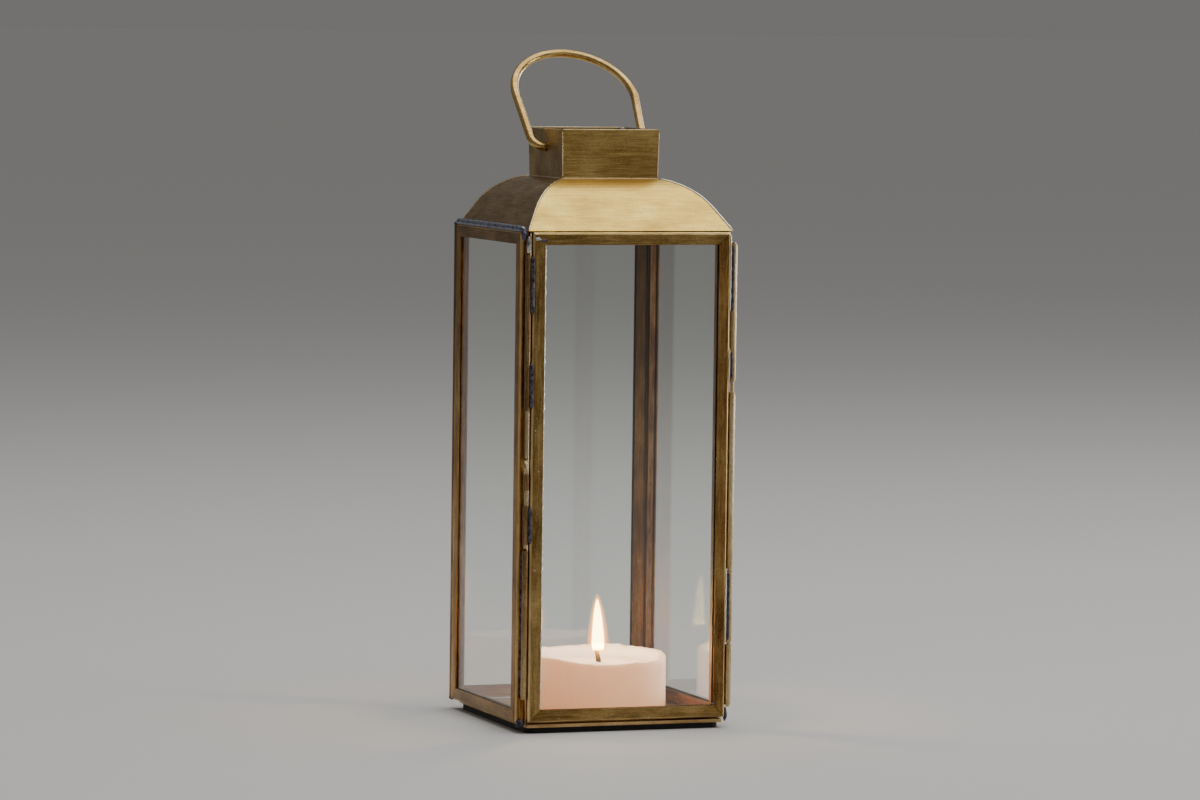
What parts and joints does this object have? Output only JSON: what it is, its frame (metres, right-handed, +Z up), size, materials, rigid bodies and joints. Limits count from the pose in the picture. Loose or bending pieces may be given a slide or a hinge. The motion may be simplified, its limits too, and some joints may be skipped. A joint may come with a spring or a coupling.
{
  "type": "candle lantern",
  "caption": "Square glazed hurricane lantern with a hinged glass door, drop-bolt latch, curved hipped roof, open chimney, wire bail and a pillar candle",
  "frame": {"origin": "on the ground under the centre of the glazed case, in the plane of the base pad's underside", "axes": "+Z up, door faces -Y, hinge on the +X side, latch on the -X side"},
  "size_m": [0.1252, 0.134, 0.3655],
  "materials": {
    "case_brass": "aged, dark, brushed along the strips",
    "door_brass": "aged, satin, brushed along the strips",
    "roof_brass": "aged, blotchy, brushed across the roof",
    "fitting_brass": "aged, dark, satin",
    "handle_brass": "aged, dark, satin",
    "clear_glass": "clear, polished",
    "black_felt": "matt",
    "wax": "waxy, soft sheen",
    "wick": "burnt cotton"
  },
  "bodies": {
    "case": {"base_pad": "black_felt", "base_plate": "case_brass", "left_post_front": "case_brass", "left_post_back": "case_brass", "left_rail_top": "case_brass", "left_rail_bottom": "case_brass", "right_post_front": "case_brass", "right_post_back": "case_brass", "right_rail_top": "case_brass", "right_rail_bottom": "case_brass", "back_post_left": "case_brass", "back_post_right": "case_brass", "back_rail_top": "case_brass", "back_rail_bottom": "case_brass", "front_header": "case_brass", "front_sill": "case_brass", "left_pane": "clear_glass", "right_pane": "clear_glass", "back_pane": "clear_glass", "roof_front": "roof_brass", "roof_right": "roof_brass", "roof_back": "roof_brass", "roof_left": "roof_brass", "chimney": "roof_brass", "hinge_pin": "fitting_brass", "hinge_tube_frame_upper": "fitting_brass", "hinge_tube_frame_lower": "fitting_brass", "latch_keeper": "fitting_brass", "candle_wax": "wax", "candle_wick": "wick"},
    "door": {"door_stile_latch": "door_brass", "door_stile_hinge": "door_brass", "door_rail_top": "door_brass", "door_rail_bottom": "door_brass", "door_pane": "clear_glass", "hinge_tube_door_upper": "fitting_brass", "hinge_tube_door_lower": "fitting_brass", "latch_tube_upper": "fitting_brass", "latch_tube_lower": "fitting_brass"},
    "handle": {"handle": "handle_brass"},
    "bolt_collar": {"bolt_collar": "fitting_brass"},
    "latch_bolt": {"latch_bolt": "fitting_brass"}
  },
  "joints": [
    {"name": "door_swing", "type": "hinge", "parent": "case", "child": "door", "pos_m": [0.06065, -0.05795, 0], "axis": [0, 0, 1], "range_deg": [0, 165]},
    {"name": "handle_swing", "type": "hinge", "parent": "case", "child": "handle", "pos_m": [0, 0, 0.3129], "axis": [1, 0, 0], "range_deg": [-61, 157]},
    {"name": "bolt_slide", "type": "slide", "parent": "door", "child": "bolt_collar", "axis": [0, 0, 1], "range_m": [-0.0078, 0.0245]},
    {"name": "bolt_turn", "type": "hinge", "parent": "bolt_collar", "child": "latch_bolt", "pos_m": [-0.05645, -0.05795, 0.0997], "axis": [0, 0, 1], "range_deg": [-100, 33]}
  ]
}
